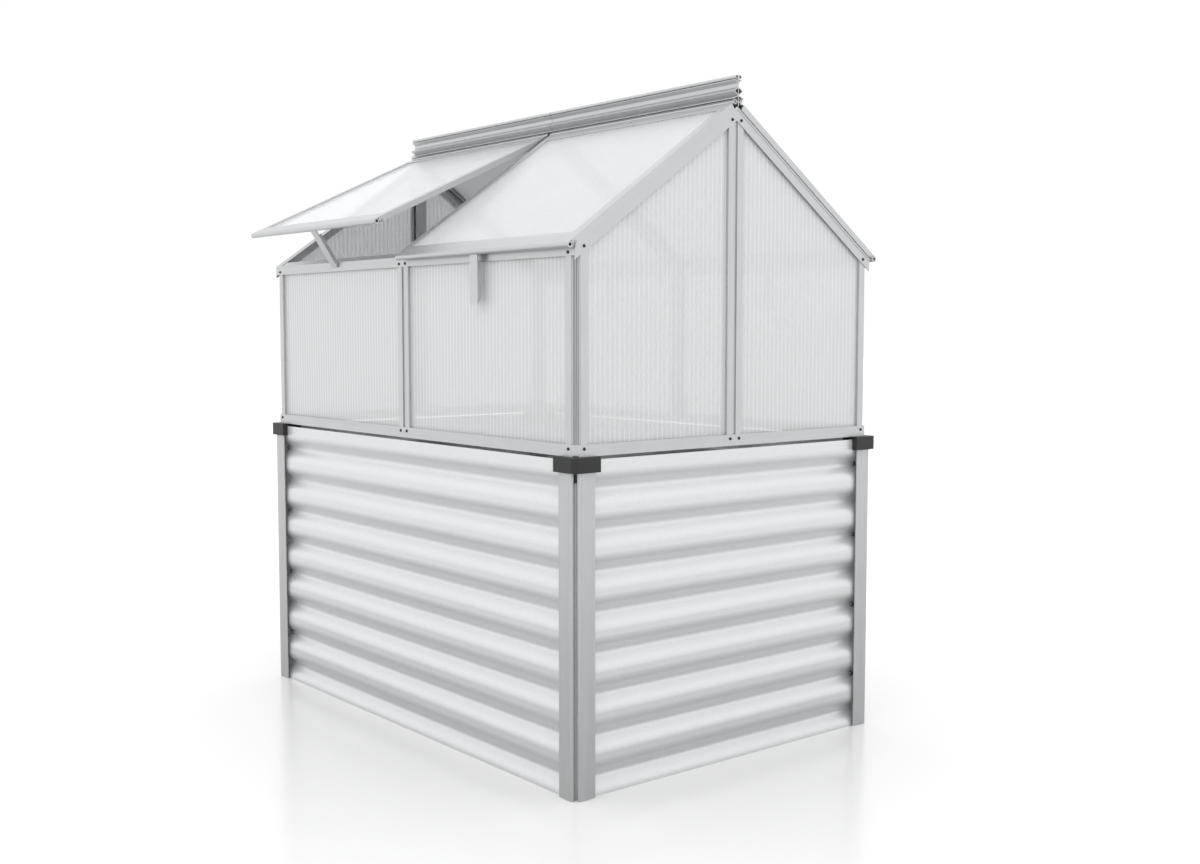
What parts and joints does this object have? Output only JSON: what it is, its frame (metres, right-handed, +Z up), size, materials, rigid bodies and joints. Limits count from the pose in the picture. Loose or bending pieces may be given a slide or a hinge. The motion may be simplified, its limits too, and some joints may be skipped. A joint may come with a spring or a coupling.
{
  "type": "cold frame",
  "caption": "Corrugated metal raised bed with a glazed aluminium top, a ridge, hinged roof vents and their stays.",
  "frame": {"origin": "on the floor, at the middle of the bed's plan", "axes": "+Z up, +X along the ridge to the right, front towards -Y"},
  "size_m": [1.196, 0.873, 1.3373],
  "materials": {
    "coated_steel_sheet": "gloss",
    "black_plastic": "satin",
    "zinc_plated_steel": "satin",
    "black_oxide_steel": "satin",
    "twin_wall_polycarbonate": "gloss",
    "stay_aluminium": "satin",
    "mill_aluminium": "satin"
  },
  "bodies": {
    "frame": {"base_rail_back": "mill_aluminium", "base_rail_front": "mill_aluminium", "base_rail_left": "mill_aluminium", "base_rail_right": "mill_aluminium", "bed_bolts": "zinc_plated_steel", "bed_nuts": "zinc_plated_steel", "bed_panel_back": "coated_steel_sheet", "bed_panel_front": "coated_steel_sheet", "bed_panel_left": "coated_steel_sheet", "bed_panel_right": "coated_steel_sheet", "bed_post_back_left": "mill_aluminium", "bed_post_back_right": "mill_aluminium", "bed_post_front_left": "mill_aluminium", "bed_post_front_right": "mill_aluminium", "cap_screws": "black_oxide_steel", "centre_rafters": "mill_aluminium", "corner_post_back_left": "mill_aluminium", "corner_post_back_right": "mill_aluminium", "corner_post_front_left": "mill_aluminium", "corner_post_front_right": "mill_aluminium", "eave_rail_back": "mill_aluminium", "eave_rail_front": "mill_aluminium", "frame_screws": "black_oxide_steel", "gable_mullions": "mill_aluminium", "gable_panes_left": "twin_wall_polycarbonate", "gable_panes_right": "twin_wall_polycarbonate", "gable_rafters_left": "mill_aluminium", "gable_rafters_right": "mill_aluminium", "post_caps": "black_plastic", "ridge_beam_left": "mill_aluminium", "ridge_beam_right": "mill_aluminium", "side_mullions": "mill_aluminium", "wall_panes_back": "twin_wall_polycarbonate", "wall_panes_front": "twin_wall_polycarbonate"},
    "vent_front_left": {"vent_front_left_bottom_rail": "mill_aluminium", "vent_front_left_pane": "twin_wall_polycarbonate", "vent_front_left_screws": "zinc_plated_steel", "vent_front_left_side_rails": "mill_aluminium", "vent_front_left_top_rail": "mill_aluminium"},
    "stay_front_left": {"vent_front_left_stay": "stay_aluminium"},
    "vent_front_right": {"vent_front_right_bottom_rail": "mill_aluminium", "vent_front_right_pane": "twin_wall_polycarbonate", "vent_front_right_screws": "zinc_plated_steel", "vent_front_right_side_rails": "mill_aluminium", "vent_front_right_top_rail": "mill_aluminium"},
    "stay_front_right": {"vent_front_right_stay": "stay_aluminium"},
    "vent_back_left": {"vent_back_left_bottom_rail": "mill_aluminium", "vent_back_left_pane": "twin_wall_polycarbonate", "vent_back_left_screws": "zinc_plated_steel", "vent_back_left_side_rails": "mill_aluminium", "vent_back_left_top_rail": "mill_aluminium"},
    "stay_back_left": {"vent_back_left_stay": "stay_aluminium"},
    "vent_back_right": {"vent_back_right_bottom_rail": "mill_aluminium", "vent_back_right_pane": "twin_wall_polycarbonate", "vent_back_right_screws": "zinc_plated_steel", "vent_back_right_side_rails": "mill_aluminium", "vent_back_right_top_rail": "mill_aluminium"},
    "stay_back_right": {"vent_back_right_stay": "stay_aluminium"}
  },
  "joints": [
    {"name": "vent_front_left_hinge", "type": "hinge", "parent": "frame", "child": "vent_front_left", "pos_m": [-0.29525, -0.009, 1.28598], "axis": [-1, 0, 0], "range_deg": [-10, 12]},
    {"name": "stay_front_left_swing", "type": "hinge", "parent": "vent_front_left", "child": "stay_front_left", "pos_m": [-0.287, -0.45241, 1.07357], "axis": [1, 0, 0], "range_deg": [-43.43, 52.12]},
    {"name": "vent_front_right_hinge", "type": "hinge", "parent": "frame", "child": "vent_front_right", "pos_m": [0.29525, -0.009, 1.28598], "axis": [-1, 0, 0], "range_deg": [0, 60]},
    {"name": "stay_front_right_swing", "type": "hinge", "parent": "vent_front_right", "child": "stay_front_right", "pos_m": [0.287, -0.40879, 0.99979], "axis": [1, 0, 0], "range_deg": [0, 60]},
    {"name": "vent_back_left_hinge", "type": "hinge", "parent": "frame", "child": "vent_back_left", "pos_m": [-0.29525, 0.009, 1.28598], "axis": [1, 0, 0], "range_deg": [0, 60]},
    {"name": "stay_back_left_swing", "type": "hinge", "parent": "vent_back_left", "child": "stay_back_left", "pos_m": [-0.287, 0.40879, 0.99979], "axis": [-1, 0, 0], "range_deg": [0, 60]},
    {"name": "vent_back_right_hinge", "type": "hinge", "parent": "frame", "child": "vent_back_right", "pos_m": [0.29525, 0.009, 1.28598], "axis": [1, 0, 0], "range_deg": [0, 60]},
    {"name": "stay_back_right_swing", "type": "hinge", "parent": "vent_back_right", "child": "stay_back_right", "pos_m": [0.287, 0.40879, 0.99979], "axis": [-1, 0, 0], "range_deg": [0, 60]}
  ],
  "couplings": [
    {"joint": "stay_front_left_swing", "follows": "vent_front_left_hinge", "ratio": 4.3431},
    {"joint": "stay_front_right_swing", "follows": "vent_front_right_hinge", "ratio": 1},
    {"joint": "stay_back_left_swing", "follows": "vent_back_left_hinge", "ratio": 1},
    {"joint": "stay_back_right_swing", "follows": "vent_back_right_hinge", "ratio": 1}
  ]
}
